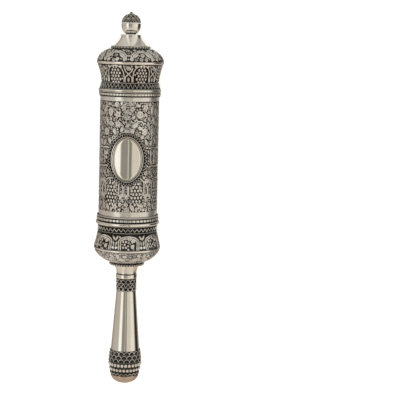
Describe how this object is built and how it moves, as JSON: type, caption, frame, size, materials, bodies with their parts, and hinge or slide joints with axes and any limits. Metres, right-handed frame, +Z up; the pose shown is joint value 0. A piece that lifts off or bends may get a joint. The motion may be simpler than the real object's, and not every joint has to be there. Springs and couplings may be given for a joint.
{
  "type": "cased esther scroll",
  "caption": "Silver megillah case: chased tube between two crowns, oval shield, finial and tapered handle; lies on its crowns",
  "frame": {"origin": "on the surface it lies on, under the middle of its bounding box", "axes": "+Y along the case towards the finial, +Z up with the oval shield facing up, +X across"},
  "size_m": [0.054, 0.305, 0.0535],
  "materials": {
    "polished_silver": "polished silver plate",
    "soft_silver": "silver with a soft worn polish",
    "beaded_silver": "silver wire and beads with dark tarnish between them",
    "chased_silver": "chased silver, oxidised in its recesses",
    "dark_filigree": "bright wire over an oxidised ground"
  },
  "bodies": {
    "root": {"finial_point": "dark_filigree", "finial_cap": "dark_filigree", "finial_cup": "polished_silver", "crown_neck": "soft_silver", "crown_rope_ring": "beaded_silver", "crown": "chased_silver", "crown_zigzag_band": "dark_filigree", "lid_rim": "beaded_silver", "tube_top_ring": "beaded_silver", "scroll_tube": "chased_silver", "cartouche_plate": "polished_silver", "cartouche_rim": "beaded_silver", "cartouche_border": "dark_filigree", "tube_bottom_ring": "beaded_silver", "base_rim": "soft_silver", "base_zigzag_band": "dark_filigree", "base_crown": "chased_silver", "base_rope_ring": "beaded_silver", "base_neck": "soft_silver", "handle_collar": "polished_silver", "handle_shaft": "polished_silver", "handle_top_filigree": "dark_filigree", "handle_bottom_filigree": "dark_filigree", "handle_bead_ring_upper": "beaded_silver", "handle_bead_ring_lower": "beaded_silver", "pommel_filigree_ring": "dark_filigree", "pommel_dome": "soft_silver"}
  },
  "joints": []
}
